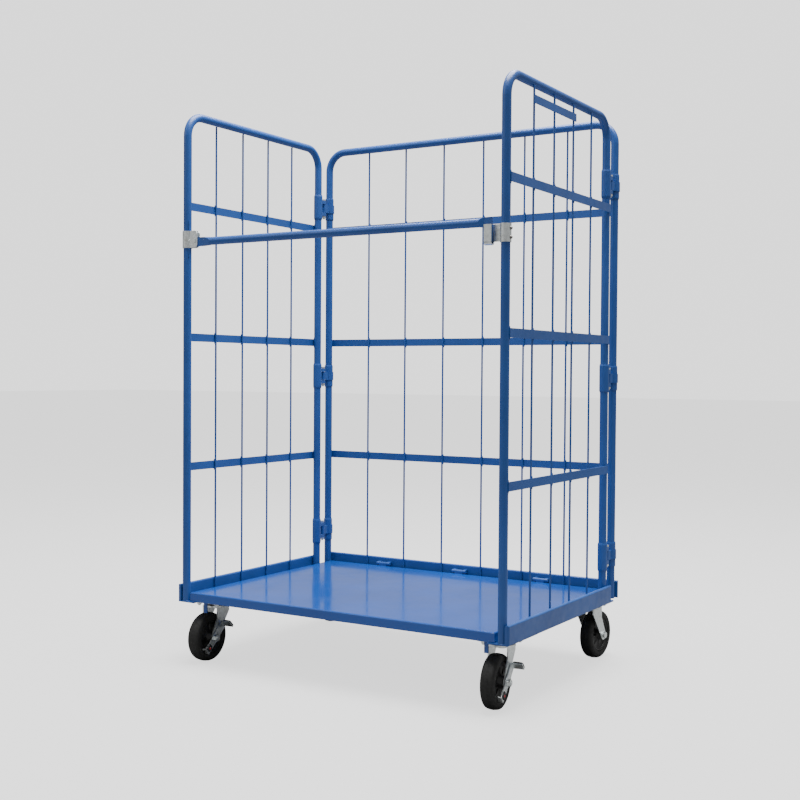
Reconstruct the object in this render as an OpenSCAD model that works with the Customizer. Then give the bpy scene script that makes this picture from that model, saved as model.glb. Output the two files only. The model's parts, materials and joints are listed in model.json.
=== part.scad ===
// Roll cage container: three hinged mesh panels, a fold-up deck, a drop-in front bar and four castors.
// X runs along the open front, Y from the front to the back panel, Z up from the floor.

/* [View] */
// Sub-part to show, or all

/* [Cage] */
// Distance between the two front post axes
cage_w = 1090; // [860:10:1320]
// Distance between a side panel's front and rear post axes
side_d = 692; // [560:4:840]
// Height over the top tubes
total_h = 1700; // [1400:10:2050]
// Distance from a side panel's rear post axis to the back panel's post axis
hinge_gap = 71; // [68:1:90]
// Outer diameter of the frame tubes
tube_d = 25; // [22:0.5:27]
// Wall of the frame tubes
tube_wall = 1.5; // [1:0.1:3]
// Bend radius of a frame tube at its axis
bend_r = 65; // [40:1:90]

/* [Mesh] */
// Diameter of the upright wires
wire_d = 6; // [4:0.5:8]
// Wires in a side panel
side_wires = 4; // [2:1:8]
// Gap from a side post axis to the first wire
side_edge = 145.75; // [80:0.25:180]
// Wires in the back panel
back_wires = 6; // [2:1:10]
// Gap from a back post axis to the first wire
back_edge = 165; // [80:1:200]
// Height of a cross flat
flat_h = 25; // [15:1:30]
// Thickness of a cross flat and of the label plate
flat_t = 3; // [2:0.5:5]

/* [Bottom] */
// Height of the bottom rails
rail_h = 54; // [40:1:70]
// Depth of the bottom rails
rail_depth = 12; // [10:1:20]
// Wall of the bottom rails
rail_t = 2; // [1:0.5:3]
// Thickness of the ledges under the deck
ledge_t = 3; // [2:0.5:5]
// Width of the ledges under the deck
ledge_w = 52; // [40:1:60]
// Thickness of the pads over the castors
pad_t = 4; // [3:0.5:6]
// Length of the pads over the castors
pad_l = 153; // [120:1:180]

/* [Deck] */
// Height of the deck
deck_h = 27.5; // [22:0.5:40]
// Sheet of the deck
deck_t = 2; // [1.5:0.5:4]
// Gap between the deck and the posts at each side
deck_side_gap = 7.5; // [5.5:0.5:15]
// Gap under the resting deck
deck_rest_gap = 0.5; // [0.4:0.1:1]
// Number of stiffeners under the deck
rib_n = 3; // [1:1:6]
// Gap from the hanging tabs' ends down to the tyres
tab_gap = 3; // [2:0.5:20]
// Distance between the outer deck hinges and the middle one
deck_hinge_pitch = 304; // [150:1:340]

/* [Hinges] */
// Height of the lowest hinge over the bottom rails
hinge_low = 90; // [60:1:120]
// Distance from the highest hinge up to the bends
hinge_high = 135.5; // [60:0.5:200]
// Height of the saddle on a side post
saddle_h = 88; // [70:1:110]
// Height of the sleeve on a back post
sleeve_h = 78; // [50:1:90]
// Height of the eye between two ears
eye_h = 29; // [20:1:40]
// Height of an ear
ear_h = 12; // [6:1:16]
// Diameter of a hinge bolt
pin_d = 8; // [6:1:10]
// Running clearance round a pin
run_gap = 0.06; // [0.02:0.01:0.1]

/* [Front bar] */
// Diameter of the front bar
bar_d = 24; // [18:0.5:26]
// Distance from the top cross flats down to the bar
bar_drop = 115.5; // [80:0.5:200]
// Distance from a front post axis to the bar's rivet
rivet_in = 32; // [31:0.5:40]
// Thickness of the bar's left end
bar_flat_t = 7; // [5:0.5:9]
// Thickness of the bar's tongue
tongue_t = 8; // [5:0.5:9]
// Play at each side of the tongue in its hook
hook_play = 3; // [2.5:0.5:5]
// Height of the collar
collar_h = 52; // [40:1:60]

/* [Castors] */
// Wheel diameter
wheel_d = 150; // [125:5:180]
// Tyre width
tyre_w = 40; // [32:1:48]
// Height of the castor's top over its tyre
castor_rise = 32; // [30:1:50]
// Distance from the swivel axis to the axle
trail = 45; // [38:1:54]
// Distance from the post axes in to the swivel axes, along X
castor_in = 45; // [40:1:60]
// Distance from the front post axis back to the front swivel axis
castor_front = 88; // [75:1:120]
// Distance from the rear post axis back to the rear swivel axis
castor_rear = 6; // [-40:1:8]
// Rest swivel angle of the front left castor
front_left_swivel = 1; // [0:0.5:30]
// Rest swivel angle of the front right castor
front_right_swivel = 6; // [0:0.5:30]
// Rest swivel angle of the rear right castor
rear_right_swivel = 175.5; // [165:0.5:195]
// Rest swivel angle of the rear left castor
rear_left_swivel = 197; // [165:0.5:200]

/* [Hidden] */
$fn = 48;
weld_gap = 0.05;
tight_gap = 0.02;
bolt_gap = 0.25;
side_gap = 0.5;

tube_r = tube_d / 2;
post_x = cage_w / 2;
wire_r = wire_d / 2;
top_z = total_h - tube_r;
wheel_r = wheel_d / 2;
axle_z = wheel_r;
castor_h = wheel_d + castor_rise;
ledge_z = castor_h + pad_t;
base_z = ledge_z + ledge_t;
back_foot_z = base_z + 1;

// Rails, flats and the label plate stand just outside the posts, and the wires just inside of them.
weld_x = tube_r + weld_gap;
wire_x = tube_r - wire_r;
wire_top_z = top_z - sqrt(pow(tube_r, 2) - pow(wire_x - wire_r, 2)) - 0.2;
wire_foot_z = base_z + 16;
side_pitch = (side_d - 2 * side_edge) / (side_wires - 1);
back_pitch = (cage_w - 2 * back_edge) / (back_wires - 1);

hinge_z0 = ledge_z + rail_h + hinge_low;
hinge_z2 = top_z - bend_r - hinge_high;
hinge_z1 = hinge_z0 + 0.4806 * (hinge_z2 - hinge_z0);
hinge_zs = [hinge_z0, hinge_z1, hinge_z2];
flat_z0 = hinge_z0 + 0.49 * (hinge_z1 - hinge_z0);
flat_z1 = hinge_z1 + 0.198 * (hinge_z2 - hinge_z1);
flat_z2 = hinge_z2 - saddle_h / 2 - 32;
flat_zs = [flat_z0, flat_z1, flat_z2];
bar_z = flat_z2 - bar_drop;

// The wheels set how deep the whole is, and the origin stands at the middle of that depth.
shoulder_r = 8;
function wheel_reach(a) = (trail + wheel_r - shoulder_r) * abs(cos(a))
    + (tyre_w / 2 - shoulder_r) * abs(sin(a)) + shoulder_r;
deep_front = side_d / 2 - castor_front + max(wheel_reach(front_left_swivel), wheel_reach(front_right_swivel));
deep_back = side_d / 2 + castor_rear + max(wheel_reach(rear_right_swivel), wheel_reach(rear_left_swivel));
mid_y = (deep_back - deep_front) / 2;

front_y = -side_d / 2 - mid_y;
rear_y = side_d / 2 - mid_y;
side_mid_y = -mid_y;
hinge_y = rear_y + hinge_gap / 2;
back_y = rear_y + hinge_gap;
castor_x = post_x - castor_in;
castor_front_y = front_y + castor_front;
castor_rear_y = rear_y + castor_rear;

pin_r = pin_d / 2;
eye_r = pin_r + 4;
ear_z = eye_h / 2 + side_gap;
bolt_z = ear_z + ear_h + side_gap;

deck_z = base_z + deck_rest_gap;
deck_top_z = deck_z + deck_h;
deck_half_w = post_x - tube_r - deck_side_gap;
deck_front_y = front_y - 6;
deck_pin_r = 4;
deck_eye_r = 6;
bracket_reach = 13.5;
deck_axis_y = back_y + weld_x - weld_gap - bracket_reach;
deck_axis_z = deck_top_z + deck_eye_r + 1;
deck_rear_y = deck_axis_y - deck_eye_r - 0.3;

blue = [0.07, 0.22, 0.50];
deck_blue = [0.13, 0.32, 0.66];
zinc = [0.76, 0.80, 0.80];
steel = [0.45, 0.45, 0.42];
black = [0.08, 0.08, 0.08];
grey = [0.25, 0.25, 0.26];

// ---------------------------------------------------------------- shared shapes

module left_side() {
    mirror([1, 0, 0]) children();
}

// Rods along +X and +Y from the origin.
module rod_x(r, len) {
    rotate([0, 90, 0]) cylinder(r = r, h = len);
}

module rod_y(r, len) {
    rotate([-90, 0, 0]) cylinder(r = r, h = len);
}

module hex_z(across, h) {
    cylinder(r = across / sqrt(3), h = h, $fn = 6);
}

// Quarter bend of round bar in the plane X = 0, from the angle a to a + 90.
module bend(r, a) {
    rotate([0, 90, 0]) rotate([0, 0, a]) rotate_extrude(angle = 90)
        translate([bend_r, 0]) circle(r = r);
}

// Hoop of round bar in the plane X = 0: two legs joined by a top run.
module hoop_bar(r, span, foot_z) {
    for (y = [-span / 2, span / 2])
        translate([0, y, foot_z]) cylinder(r = r, h = top_z - bend_r - foot_z);
    translate([0, -span / 2 + bend_r, top_z]) rod_y(r, span - 2 * bend_r);
    translate([0, -span / 2 + bend_r, top_z - bend_r]) bend(r, 180);
    translate([0, span / 2 - bend_r, top_z - bend_r]) bend(r, 90);
}

module hoop_tube(span, foot_z) {
    difference() {
        hoop_bar(tube_r, span, foot_z);
        hoop_bar(tube_r - tube_wall, span, foot_z - 1);
    }
}

// Upright rectangle w by h with four rounded corners.
module rounded(w, h, r) {
    translate([r, 0]) square([w - 2 * r, h]);
    translate([0, r]) square([w, h - 2 * r]);
    for (x = [r, w - r], y = [r, h - r])
        translate([x, y]) circle(r = r);
}

// Rectangle w by h whose two corners at the far end of Y are rounded.
module round_end(w, h, r) {
    square([w, h - r]);
    translate([r, 0]) square([w - 2 * r, h]);
    for (x = [r, w - r])
        translate([x, h - r]) circle(r = r);
}

rail_fold = 4;
rail_end = 6;

// Block of the bottom rail along Y: inner face at X = 0, outer corners rounded, outer ends rounded.
module rail_block(y0, y1, z, inset) {
    len = y1 - y0 - 2 * inset;
    d = rail_depth - 2 * inset;
    h = rail_h - 2 * inset;
    translate([inset, y0 + inset, z + inset]) intersection() {
        translate([0, len, 0]) rotate([90, 0, 0]) linear_extrude(len) rounded(d, h, rail_fold - inset);
        translate([0, len, 0]) rotate([0, 0, -90]) linear_extrude(h) round_end(len, d, rail_end - inset);
    }
}

// The rail's drain holes keep its inside open.
module rail(y0, y1, z) {
    difference() {
        rail_block(y0, y1, z, 0);
        rail_block(y0, y1, z, rail_t);
        for (y = [y0 + 40, y1 - 40])
            translate([rail_depth / 2, y, z - 1]) cylinder(r = 3, h = rail_t + 2);
    }
}

module wire_row(n, pitch, foot_z) {
    for (i = [0 : n - 1])
        translate([wire_x, (i - (n - 1) / 2) * pitch, foot_z]) cylinder(r = wire_r, h = wire_top_z - foot_z);
}

module flat_row(span) {
    for (z = flat_zs)
        translate([weld_x, -span / 2, z - flat_h / 2]) cube([flat_t, span, flat_h]);
}

// Panels are drawn in the plane X = 0 with +X outwards.
module at_back() {
    translate([0, back_y, 0]) rotate([0, 0, 90]) children();
}

module at_side() {
    translate([post_x, side_mid_y, 0]) children();
}

// ---------------------------------------------------------------- back panel

module back_frame_tube() {
    color(blue) at_back() hoop_tube(cage_w, back_foot_z);
}

module back_mesh_wires() {
    color(blue) at_back() wire_row(back_wires, back_pitch, wire_foot_z);
}

module back_flats() {
    color(blue) at_back() flat_row(cage_w);
}

rail_past = 18;

module back_rail() {
    color(blue) at_back() translate([weld_x, 0, 0])
        rail(-post_x - rail_past, post_x + rail_past, back_foot_z);
}

module at_back_posts() {
    for (side = [-1, 1], z = hinge_zs)
        translate([side * post_x, back_y, z]) children();
}

module at_pins() {
    for (side = [-1, 1], z = hinge_zs)
        translate([side * post_x, hinge_y, z]) children();
}

// Sleeve of a hinge leaf with its two ends turned down.
module sleeve(h, r, end) {
    cylinder(r = r, h = h - 2 * end, center = true);
    for (z = [0, 1]) mirror([0, 0, z]) translate([0, 0, h / 2 - end])
        cylinder(r1 = r, r2 = r - end / 4, h = end);
}

sleeve_r = tube_r + 2.3;
strap_r = tube_r + 4.5;
saddle_r = tube_r + 2.5;

// Sleeve and strap on a back post, with the eye for the hinge bolt towards the front.
module hinge_strap() {
    reach = hinge_gap / 2;
    difference() {
        union() {
            sleeve(sleeve_h, sleeve_r, 4);
            cylinder(r = strap_r, h = eye_h, center = true);
            translate([0, -reach, 0]) cylinder(r = eye_r, h = eye_h, center = true);
            translate([-eye_r, -reach, -eye_h / 2]) cube([2 * eye_r, reach, eye_h]);
        }
        cylinder(r = tube_r + weld_gap, h = 2 * sleeve_h, center = true);
        translate([0, -reach, 0]) cylinder(r = pin_r + tight_gap, h = 2 * eye_h, center = true);
    }
}

module back_hinge_straps() {
    color(blue) at_back_posts() hinge_strap();
}

nut_h = 6;

// Each hinge bolt is followed by its nut, a solid of its own.
module hinge_bolts() {
    shank = 2 * bolt_z + nut_h + 4;
    color(zinc) at_pins() {
        translate([0, 0, bolt_z - shank]) cylinder(r = pin_r, h = shank + 1);
        translate([0, 0, bolt_z]) hex_z(13, 5.3);
        translate([0, 0, -bolt_z - nut_h]) difference() {
            hex_z(13, nut_h);
            translate([0, 0, -1]) cylinder(r = pin_r + tight_gap, h = nut_h + 2);
        }
    }
}

deck_hinge_xs = [-deck_hinge_pitch, 0, deck_hinge_pitch];
lug_half = 14;
bracket_w = 10;
bracket_x = lug_half + side_gap;

// Eyes of the deck hinges, each on a tongue that ends at the back rail.
module deck_hinge_brackets() {
    color(blue) for (x = deck_hinge_xs, s = [bracket_x, -bracket_x - bracket_w])
        translate([x + s, deck_axis_y, deck_axis_z]) difference() {
            union() {
                rod_x(deck_eye_r, bracket_w);
                translate([0, 0, -deck_eye_r]) cube([bracket_w, bracket_reach, 2 * deck_eye_r]);
            }
            translate([-1, 0, 0]) rod_x(deck_pin_r + tight_gap, bracket_w + 2);
        }
}

module deck_hinge_pins() {
    half = bracket_x + bracket_w;
    color(blue) for (x = deck_hinge_xs)
        translate([x, deck_axis_y, deck_axis_z]) {
            translate([-half - 1, 0, 0]) rod_x(deck_pin_r, 2 * half + 2);
            for (s = [half + 0.1, -half - 2.1])
                translate([s, 0, 0]) rod_x(deck_pin_r + 1.5, 2);
        }
}

// ---------------------------------------------------------------- side panels

module side_frame_tube() {
    color(blue) at_side() hoop_tube(side_d, base_z);
}

module side_wire_row() {
    color(blue) at_side() wire_row(side_wires, side_pitch, wire_foot_z);
}

module side_flats() {
    color(blue) at_side() flat_row(side_d);
}

ledge_past = tube_r + 0.3;
rail_rear_in = 15.5;

// A side rail ends just before the hinge axis, so it turns clear of the back post.
module side_rail() {
    color(blue) at_side() translate([weld_x, 0, 0])
        rail(-side_d / 2 - ledge_past, side_d / 2 + hinge_gap / 2 - rail_rear_in, ledge_z);
}

module side_ledge() {
    color(blue) at_side() difference() {
        translate([tube_r - ledge_w, -side_d / 2 - ledge_past, ledge_z])
            cube([ledge_w, side_d + 2 * ledge_past, ledge_t]);
        translate([-post_x, -side_mid_y, 0]) at_castor_bolts()
            translate([0, 0, ledge_z - 1]) cylinder(r = bolt_r + bolt_gap, h = ledge_t + 2);
    }
}

// Saddle on a side panel's rear post, with the two ears that take the hinge bolt.
module hinge_saddle() {
    reach = hinge_gap / 2;
    difference() {
        union() {
            sleeve(saddle_h, saddle_r, 6);
            for (z = [-ear_z - ear_h, ear_z]) translate([0, 0, z]) {
                translate([0, reach, 0]) cylinder(r = eye_r, h = ear_h);
                translate([-eye_r, 0, 0]) cube([2 * eye_r, reach, ear_h]);
            }
        }
        cylinder(r = tube_r + weld_gap, h = 2 * saddle_h, center = true);
        translate([0, reach, 0]) cylinder(r = pin_r + run_gap, h = 2 * saddle_h, center = true);
    }
}

module side_hinge_saddles() {
    color(blue) for (z = hinge_zs)
        translate([post_x, rear_y, z]) hinge_saddle();
}

plate_w = 95;
plate_l = 105;
plate_t = 4;
bolt_x = 35;
bolt_y = 40;
bolt_r = 4;
kingpin_r = 7;
race_in = 18;
race_out = 33;
crown_t = 5;
crown_r = 38;
crown_z = castor_h - 13;

module at_swivels() {
    for (y = [castor_front_y, castor_rear_y])
        translate([castor_x, y, 0]) children();
}

module at_castor_bolts() {
    at_swivels() for (x = [-bolt_x, bolt_x], y = [-bolt_y, bolt_y])
        translate([x, y, 0]) children();
}

module side_castor_pads() {
    pad_w = 105;
    x0 = post_x + tube_r + 2.5 - pad_w;
    color(blue) difference() {
        for (y = [castor_front_y - plate_l / 2 - 2, castor_rear_y + plate_l / 2 + 2 - pad_l])
            translate([x0, y, castor_h]) cube([pad_w, pad_l, pad_t]);
        at_castor_bolts() translate([0, 0, castor_h - 1]) cylinder(r = bolt_r + bolt_gap, h = pad_t + 2);
    }
}

module side_castor_plates() {
    color(zinc) difference() {
        at_swivels() translate([-plate_w / 2, -plate_l / 2, castor_h - plate_t]) cube([plate_w, plate_l, plate_t]);
        at_castor_bolts() translate([0, 0, castor_h - plate_t - 1]) cylinder(r = bolt_r + bolt_gap, h = plate_t + 2);
        at_swivels() translate([0, 0, castor_h - plate_t - 1]) cylinder(r = kingpin_r + tight_gap, h = plate_t + 2);
    }
}

module side_kingpins() {
    head_z = crown_z - crown_t - 0.4;
    color(zinc) at_swivels() {
        translate([0, 0, head_z - 7]) cylinder(r = 11, h = 7);
        translate([0, 0, head_z - 1]) cylinder(r = kingpin_r, h = castor_h - head_z + 0.5);
    }
}

head_r = 8;
head_h = 2.9;

// Bolts down through ledge, pad and plate; each is followed by its nut, a solid of its own.
module side_castor_bolts() {
    low_z = castor_h - plate_t - 10;
    nut_z = castor_h - plate_t - 6.5;
    color(zinc) at_swivels() for (x = [-bolt_x, bolt_x], y = [-bolt_y, bolt_y]) {
        translate([x, y, nut_z]) difference() {
            hex_z(13, 6.4);
            translate([0, 0, -1]) cylinder(r = bolt_r + tight_gap, h = 9);
        }
    }
    color(zinc) for (x = [-bolt_x, bolt_x], y = [-bolt_y, bolt_y]) {
        castor_bolt(castor_x + x, castor_front_y + y, low_z, x > 0 ? base_z : ledge_z);
        castor_bolt(castor_x + x, castor_rear_y + y, low_z, x > 0 && y < 0 ? base_z : ledge_z);
    }
}

module castor_bolt(x, y, low_z, seat_z) {
    translate([x, y, 0]) {
        translate([0, 0, low_z]) cylinder(r = bolt_r, h = seat_z - low_z + 0.5);
        translate([0, 0, seat_z]) cylinder(r1 = head_r, r2 = head_r - 3, h = head_h);
    }
}

// Dust ring of the ball race between plate and fork.
module side_swivel_bearings() {
    color(grey) at_swivels() translate([0, 0, crown_z + 0.5]) difference() {
        cylinder(r = race_out, h = castor_h - plate_t - crown_z - 0.5);
        translate([0, 0, -1]) cylinder(r = race_in, h = 20);
    }
}

module left_frame_tube() { left_side() side_frame_tube(); }
module left_wires() { left_side() side_wire_row(); }
module left_flats() { left_side() side_flats(); }
module left_rail() { left_side() side_rail(); }
module left_ledge() { left_side() side_ledge(); }
module left_hinge_saddles() { left_side() side_hinge_saddles(); }
module left_castor_pads() { left_side() side_castor_pads(); }
module left_castor_plates() { left_side() side_castor_plates(); }
module left_kingpins() { left_side() side_kingpins(); }
module left_castor_bolts() { left_side() side_castor_bolts(); }
module left_swivel_bearings() { left_side() side_swivel_bearings(); }

module right_frame_tube() { side_frame_tube(); }
module right_wires() { side_wire_row(); }
module right_flats() { side_flats(); }
module right_rail() { side_rail(); }
module right_ledge() { side_ledge(); }
module right_hinge_saddles() { side_hinge_saddles(); }
module right_castor_pads() { side_castor_pads(); }
module right_castor_plates() { side_castor_plates(); }
module right_kingpins() { side_kingpins(); }
module right_castor_bolts() { side_castor_bolts(); }
module right_swivel_bearings() { side_swivel_bearings(); }

label_h = 22;
label_drop = 48.5;
label_over = 8;

// The label plate spans the front three wires of the right panel.
module label_plate() {
    color(blue) at_side()
        translate([weld_x, -(side_wires - 1) / 2 * side_pitch - label_over, top_z - label_drop - label_h / 2])
            cube([flat_t, min(2, side_wires - 1) * side_pitch + 2 * label_over, label_h]);
}

// ---------------------------------------------------------------- front bar, its collar and its hook

sheet_t = 2.5;
rivet_up = 4;
rivet_x = -post_x + rivet_in;
rivet_z = bar_z + rivet_up;
collar_z = bar_z - 17.5;
collar_bore = tube_r + 0.3;
collar_r = collar_bore + sheet_t;
arm_in = bar_flat_t / 2 + side_gap;
arm_end = 12;

stop_r = 2;
stop_h = 24.5;

// Two short rods welded to the left front post keep the collar at its height.
module bar_stops() {
    a = -30;
    d = tube_r + weld_gap + stop_r;
    color(blue) for (z = [collar_z - side_gap - stop_h, collar_z + collar_h + 6])
        translate([-post_x + d * cos(a), front_y + d * sin(a), z]) cylinder(r = stop_r, h = stop_h);
}

// Collar on the left front post; its two arms hold the bar's rivet.
module bar_collar() {
    arm_r = 12;
    reach = rivet_in + arm_end;
    color(zinc) translate([-post_x, front_y, collar_z]) difference() {
        union() {
            cylinder(r = collar_r, h = collar_h);
            for (y = [-arm_in - sheet_t, arm_in]) translate([0, y, 0]) {
                translate([0, 0, arm_r]) cube([reach, sheet_t, collar_h - 2 * arm_r]);
                cube([reach - arm_r, sheet_t, collar_h]);
                for (z = [arm_r, collar_h - arm_r])
                    translate([reach - arm_r, 0, z]) rod_y(arm_r, sheet_t);
            }
        }
        translate([0, 0, -1]) cylinder(r = collar_bore, h = collar_h + 2);
        translate([rivet_in, -20, rivet_z - collar_z]) rod_y(pin_r + tight_gap, 40);
    }
}

module bar_rivet() {
    half = arm_in + sheet_t + 0.1;
    color(zinc) translate([rivet_x, front_y, rivet_z]) {
        translate([0, -half - 1, 0]) rod_y(pin_r, 2 * half + 2);
        translate([0, -half - 2.5, 0]) rod_y(pin_r + 3, 2.5);
        translate([0, half, 0]) rod_y(pin_r + 3, 2.5);
    }
}

// Flattened end of a tube: round with radius bar_d / 2 at X = 0, a flat of t by h at X = len.
module flattened(len, t, h) {
    r = bar_d / 2;
    far_r = sqrt(pow(t / 2, 2) + pow(h / 2, 2)) + 0.5;
    intersection() {
        rotate([0, 90, 0]) cylinder(r1 = r, r2 = far_r, h = len);
        translate([0, 0, -r - h]) linear_extrude(2 * r + 2 * h)
            polygon([[0, -r], [len, -t / 2], [len, t / 2], [0, r]]);
        translate([0, r + t, 0]) rotate([90, 0, 0]) linear_extrude(2 * r + 2 * t)
            polygon([[0, -r], [len, -h / 2], [len, h / 2], [0, r]]);
    }
}

bar_end_r = 13.5;
bar_flat_len = 30;
bar_taper = 34;
tongue_in = 40;
tongue_w = 21;
tongue_drop = 51.5;
tongue_taper = 15;
tongue_h = 26;
tongue_r = 6;

// Tube with two flattened ends; the plate welded to its right end follows as a solid of its own.
module front_bar() {
    flat_x = rivet_x + bar_flat_len;
    round_x = flat_x + bar_taper;
    tongue_x = post_x - tongue_in - tongue_w;
    round_end_x = tongue_x - tongue_taper;
    color(blue) translate([0, front_y, 0]) difference() {
        union() {
            translate([round_x, 0, bar_z]) rod_x(bar_d / 2, round_end_x - round_x);
            translate([round_x, 0, bar_z]) mirror([1, 0, 0]) flattened(bar_taper, bar_flat_t, 2 * bar_end_r);
            translate([rivet_x, -bar_flat_t / 2, bar_z - bar_end_r]) cube([bar_flat_len, bar_flat_t, 2 * bar_end_r]);
            translate([rivet_x, -bar_flat_t / 2, bar_z]) rod_y(bar_end_r, bar_flat_t);
            translate([round_end_x, 0, bar_z]) flattened(tongue_taper, tongue_t, tongue_h);
        }
        translate([rivet_x, -20, rivet_z]) rod_y(pin_r + run_gap, 40);
        translate([round_x + 5, 0, bar_z]) rod_x(bar_d / 2 - tube_wall, round_end_x - round_x - 10);
        translate([round_x + 12, 0, bar_z - bar_d]) cylinder(r = 2.5, h = bar_d);
    }
    color(blue) translate([tongue_x + weld_gap, front_y - tongue_t / 2, bar_z - tongue_drop]) {
        translate([0, 0, tongue_r]) cube([tongue_w, tongue_t, tongue_drop - tongue_r + tongue_h / 2]);
        translate([tongue_r, 0, 0]) cube([tongue_w - 2 * tongue_r, tongue_t, tongue_drop]);
        for (x = [tongue_r, tongue_w - tongue_r])
            translate([x, 0, tongue_r]) rod_y(tongue_r, tongue_t);
    }
}

hook_far = 60;
hook_near = 38;
hook_low = bar_z - 60.5;
hook_ring_z = bar_z - 54.5;
hook_top = bar_z - 5.5;
hook_rivet_zs = [12, 36];
hook_rivet_r = 3;
hook_head_r = 5;

// Band round the right front post, a back wall, and the U that takes the tongue.
module bar_hook() {
    band_r = tube_r + weld_gap;
    slot = tongue_t / 2 + hook_play;
    out = slot + sheet_t;
    u_z = hook_low + out;
    h = hook_top - hook_ring_z;
    color(zinc) translate([post_x, front_y, 0]) difference() {
        union() {
            translate([0, 0, hook_ring_z]) cylinder(r = band_r + sheet_t, h = h);
            translate([-hook_far, slot, u_z]) cube([hook_far, sheet_t, hook_top - u_z]);
            translate([-hook_far, -out, u_z]) cube([hook_far - hook_near, sheet_t, hook_top - u_z]);
            translate([-hook_far, 0, u_z]) difference() {
                rod_x(out, hook_far - hook_near);
                translate([-1, -out - 1, 0]) cube([hook_far, 2 * out + 2, out + 2]);
                translate([-1, 0, 0]) rod_x(slot, hook_far);
            }
        }
        translate([0, 0, hook_ring_z - 20]) cylinder(r = band_r, h = h + 40);
        for (z = hook_rivet_zs)
            translate([0, 0, hook_ring_z + z]) rod_x(hook_rivet_r + weld_gap, 2 * band_r);
    }
}

module hook_rivets() {
    face = tube_r + weld_gap + sheet_t;
    color(steel) for (z = hook_rivet_zs)
        translate([post_x, front_y, hook_ring_z + z]) {
            translate([face - sheet_t + 0.1, 0, 0]) rod_x(hook_rivet_r, sheet_t + 1);
            translate([face + 0.1, 0, 0]) rotate([0, 90, 0]) cylinder(r1 = hook_head_r, r2 = hook_rivet_r, h = 3.5);
        }
}

// ---------------------------------------------------------------- deck

deck_fold = 4;
tab_w = 12;
tab_t = 4;
tab_in = 38;
tab_y = deck_front_y + 26;

module pan_block(half_w, y0, y1, z0, h, r) {
    intersection() {
        translate([-half_w, y1, z0]) rotate([90, 0, 0]) linear_extrude(y1 - y0) round_end(2 * half_w, h, r);
        translate([-half_w, y0, z0]) rotate([90, 0, 90]) linear_extrude(2 * half_w) round_end(y1 - y0, h, r);
    }
}

// Deck sheet with its four lips turned down, and the two tabs that hang between the castors.
module deck_pan() {
    tab_z = wheel_d + tab_gap;
    color(deck_blue) {
        difference() {
            pan_block(deck_half_w, deck_front_y, deck_rear_y, deck_z, deck_h, deck_fold);
            pan_block(deck_half_w - deck_t, deck_front_y + deck_t, deck_rear_y - deck_t,
                deck_z - 1, deck_h - deck_t + 1, deck_fold - deck_t);
        }
        for (side = [-1, 1])
            translate([side * (deck_half_w - tab_in) - tab_w / 2, tab_y, tab_z])
                cube([tab_w, tab_t, deck_top_z - deck_t / 2 - tab_z]);
    }
}

rib_w = 40;
rib_h = 21;
rib_t = 2;

module deck_ribs() {
    step = (deck_rear_y - deck_front_y) / (rib_n + 1);
    z0 = deck_top_z - deck_t - rib_h - weld_gap;
    half = deck_half_w - deck_t - 2;
    color(blue) for (i = [1 : rib_n])
        translate([-half, deck_front_y + i * step - rib_w / 2, z0]) difference() {
            cube([2 * half, rib_w, rib_h]);
            translate([-1, rib_t, rib_t]) cube([2 * half + 2, rib_w - 2 * rib_t, rib_h]);
        }
}

lug_t = 4;
lug_drop = 24;

// Deck leaves: a plate on the deck's rear lip and, above it, the eye between two brackets.
module deck_hinge_lugs() {
    color(blue) for (x = deck_hinge_xs)
        translate([x - lug_half, 0, deck_axis_z]) difference() {
            union() {
                translate([0, deck_axis_y, 0]) rod_x(deck_eye_r, 2 * lug_half);
                translate([0, deck_rear_y + weld_gap, -lug_drop]) cube([2 * lug_half, lug_t, lug_drop]);
            }
            translate([-1, deck_axis_y, 0]) rod_x(deck_pin_r + run_gap, 2 * lug_half + 2);
        }
}

// ---------------------------------------------------------------- castors

// A castor is drawn with its swivel axis at X = Y = 0 and its wheel at Y = -trail.
module at_castor(x, y, turn) {
    translate([x, y, 0]) rotate([0, 0, turn]) children();
}

module at_fl() { at_castor(-castor_x, castor_front_y, front_left_swivel) children(); }
module at_fr() { at_castor(castor_x, castor_front_y, front_right_swivel) children(); }
module at_rl() { at_castor(-castor_x, castor_rear_y, rear_left_swivel) children(); }
module at_rr() { at_castor(castor_x, castor_rear_y, rear_right_swivel) children(); }

leg_in = tyre_w / 2 + 6;
leg_t = 3.5;
leg_foot_r = 15;
axle_r = 6;

module fork_leg() {
    translate([leg_in, 0, 0]) rotate([90, 0, 90]) linear_extrude(leg_t) {
        translate([-trail, axle_z]) circle(r = leg_foot_r);
        polygon([
            [-trail - leg_foot_r + 0.3, axle_z + 3],
            [-31, crown_z - 36],
            [-31, crown_z - 0.5],
            [27, crown_z - 0.5],
            [27, crown_z - 20],
            [-trail + leg_foot_r - 2, axle_z - 7],
            [-trail, axle_z]
        ]);
    }
}

module fork() {
    half = leg_in + leg_t;
    color(zinc) difference() {
        union() {
            translate([0, 0, crown_z - crown_t]) cylinder(r = crown_r, h = crown_t);
            translate([-half, -31, crown_z - crown_t]) cube([2 * half, 58, crown_t - 0.5]);
            for (m = [0, 1])
                mirror([m, 0, 0]) fork_leg();
        }
        translate([0, 0, crown_z - crown_t - 1]) cylinder(r = kingpin_r + 0.08, h = crown_t + 2);
        translate([-half - 1, -trail, axle_z]) rod_x(axle_r + tight_gap, 2 * half + 2);
    }
}

lever_t = 3;
lever_x = leg_in + leg_t + 1.5;
nut_out = lever_x + lever_t + 0.5;

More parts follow.
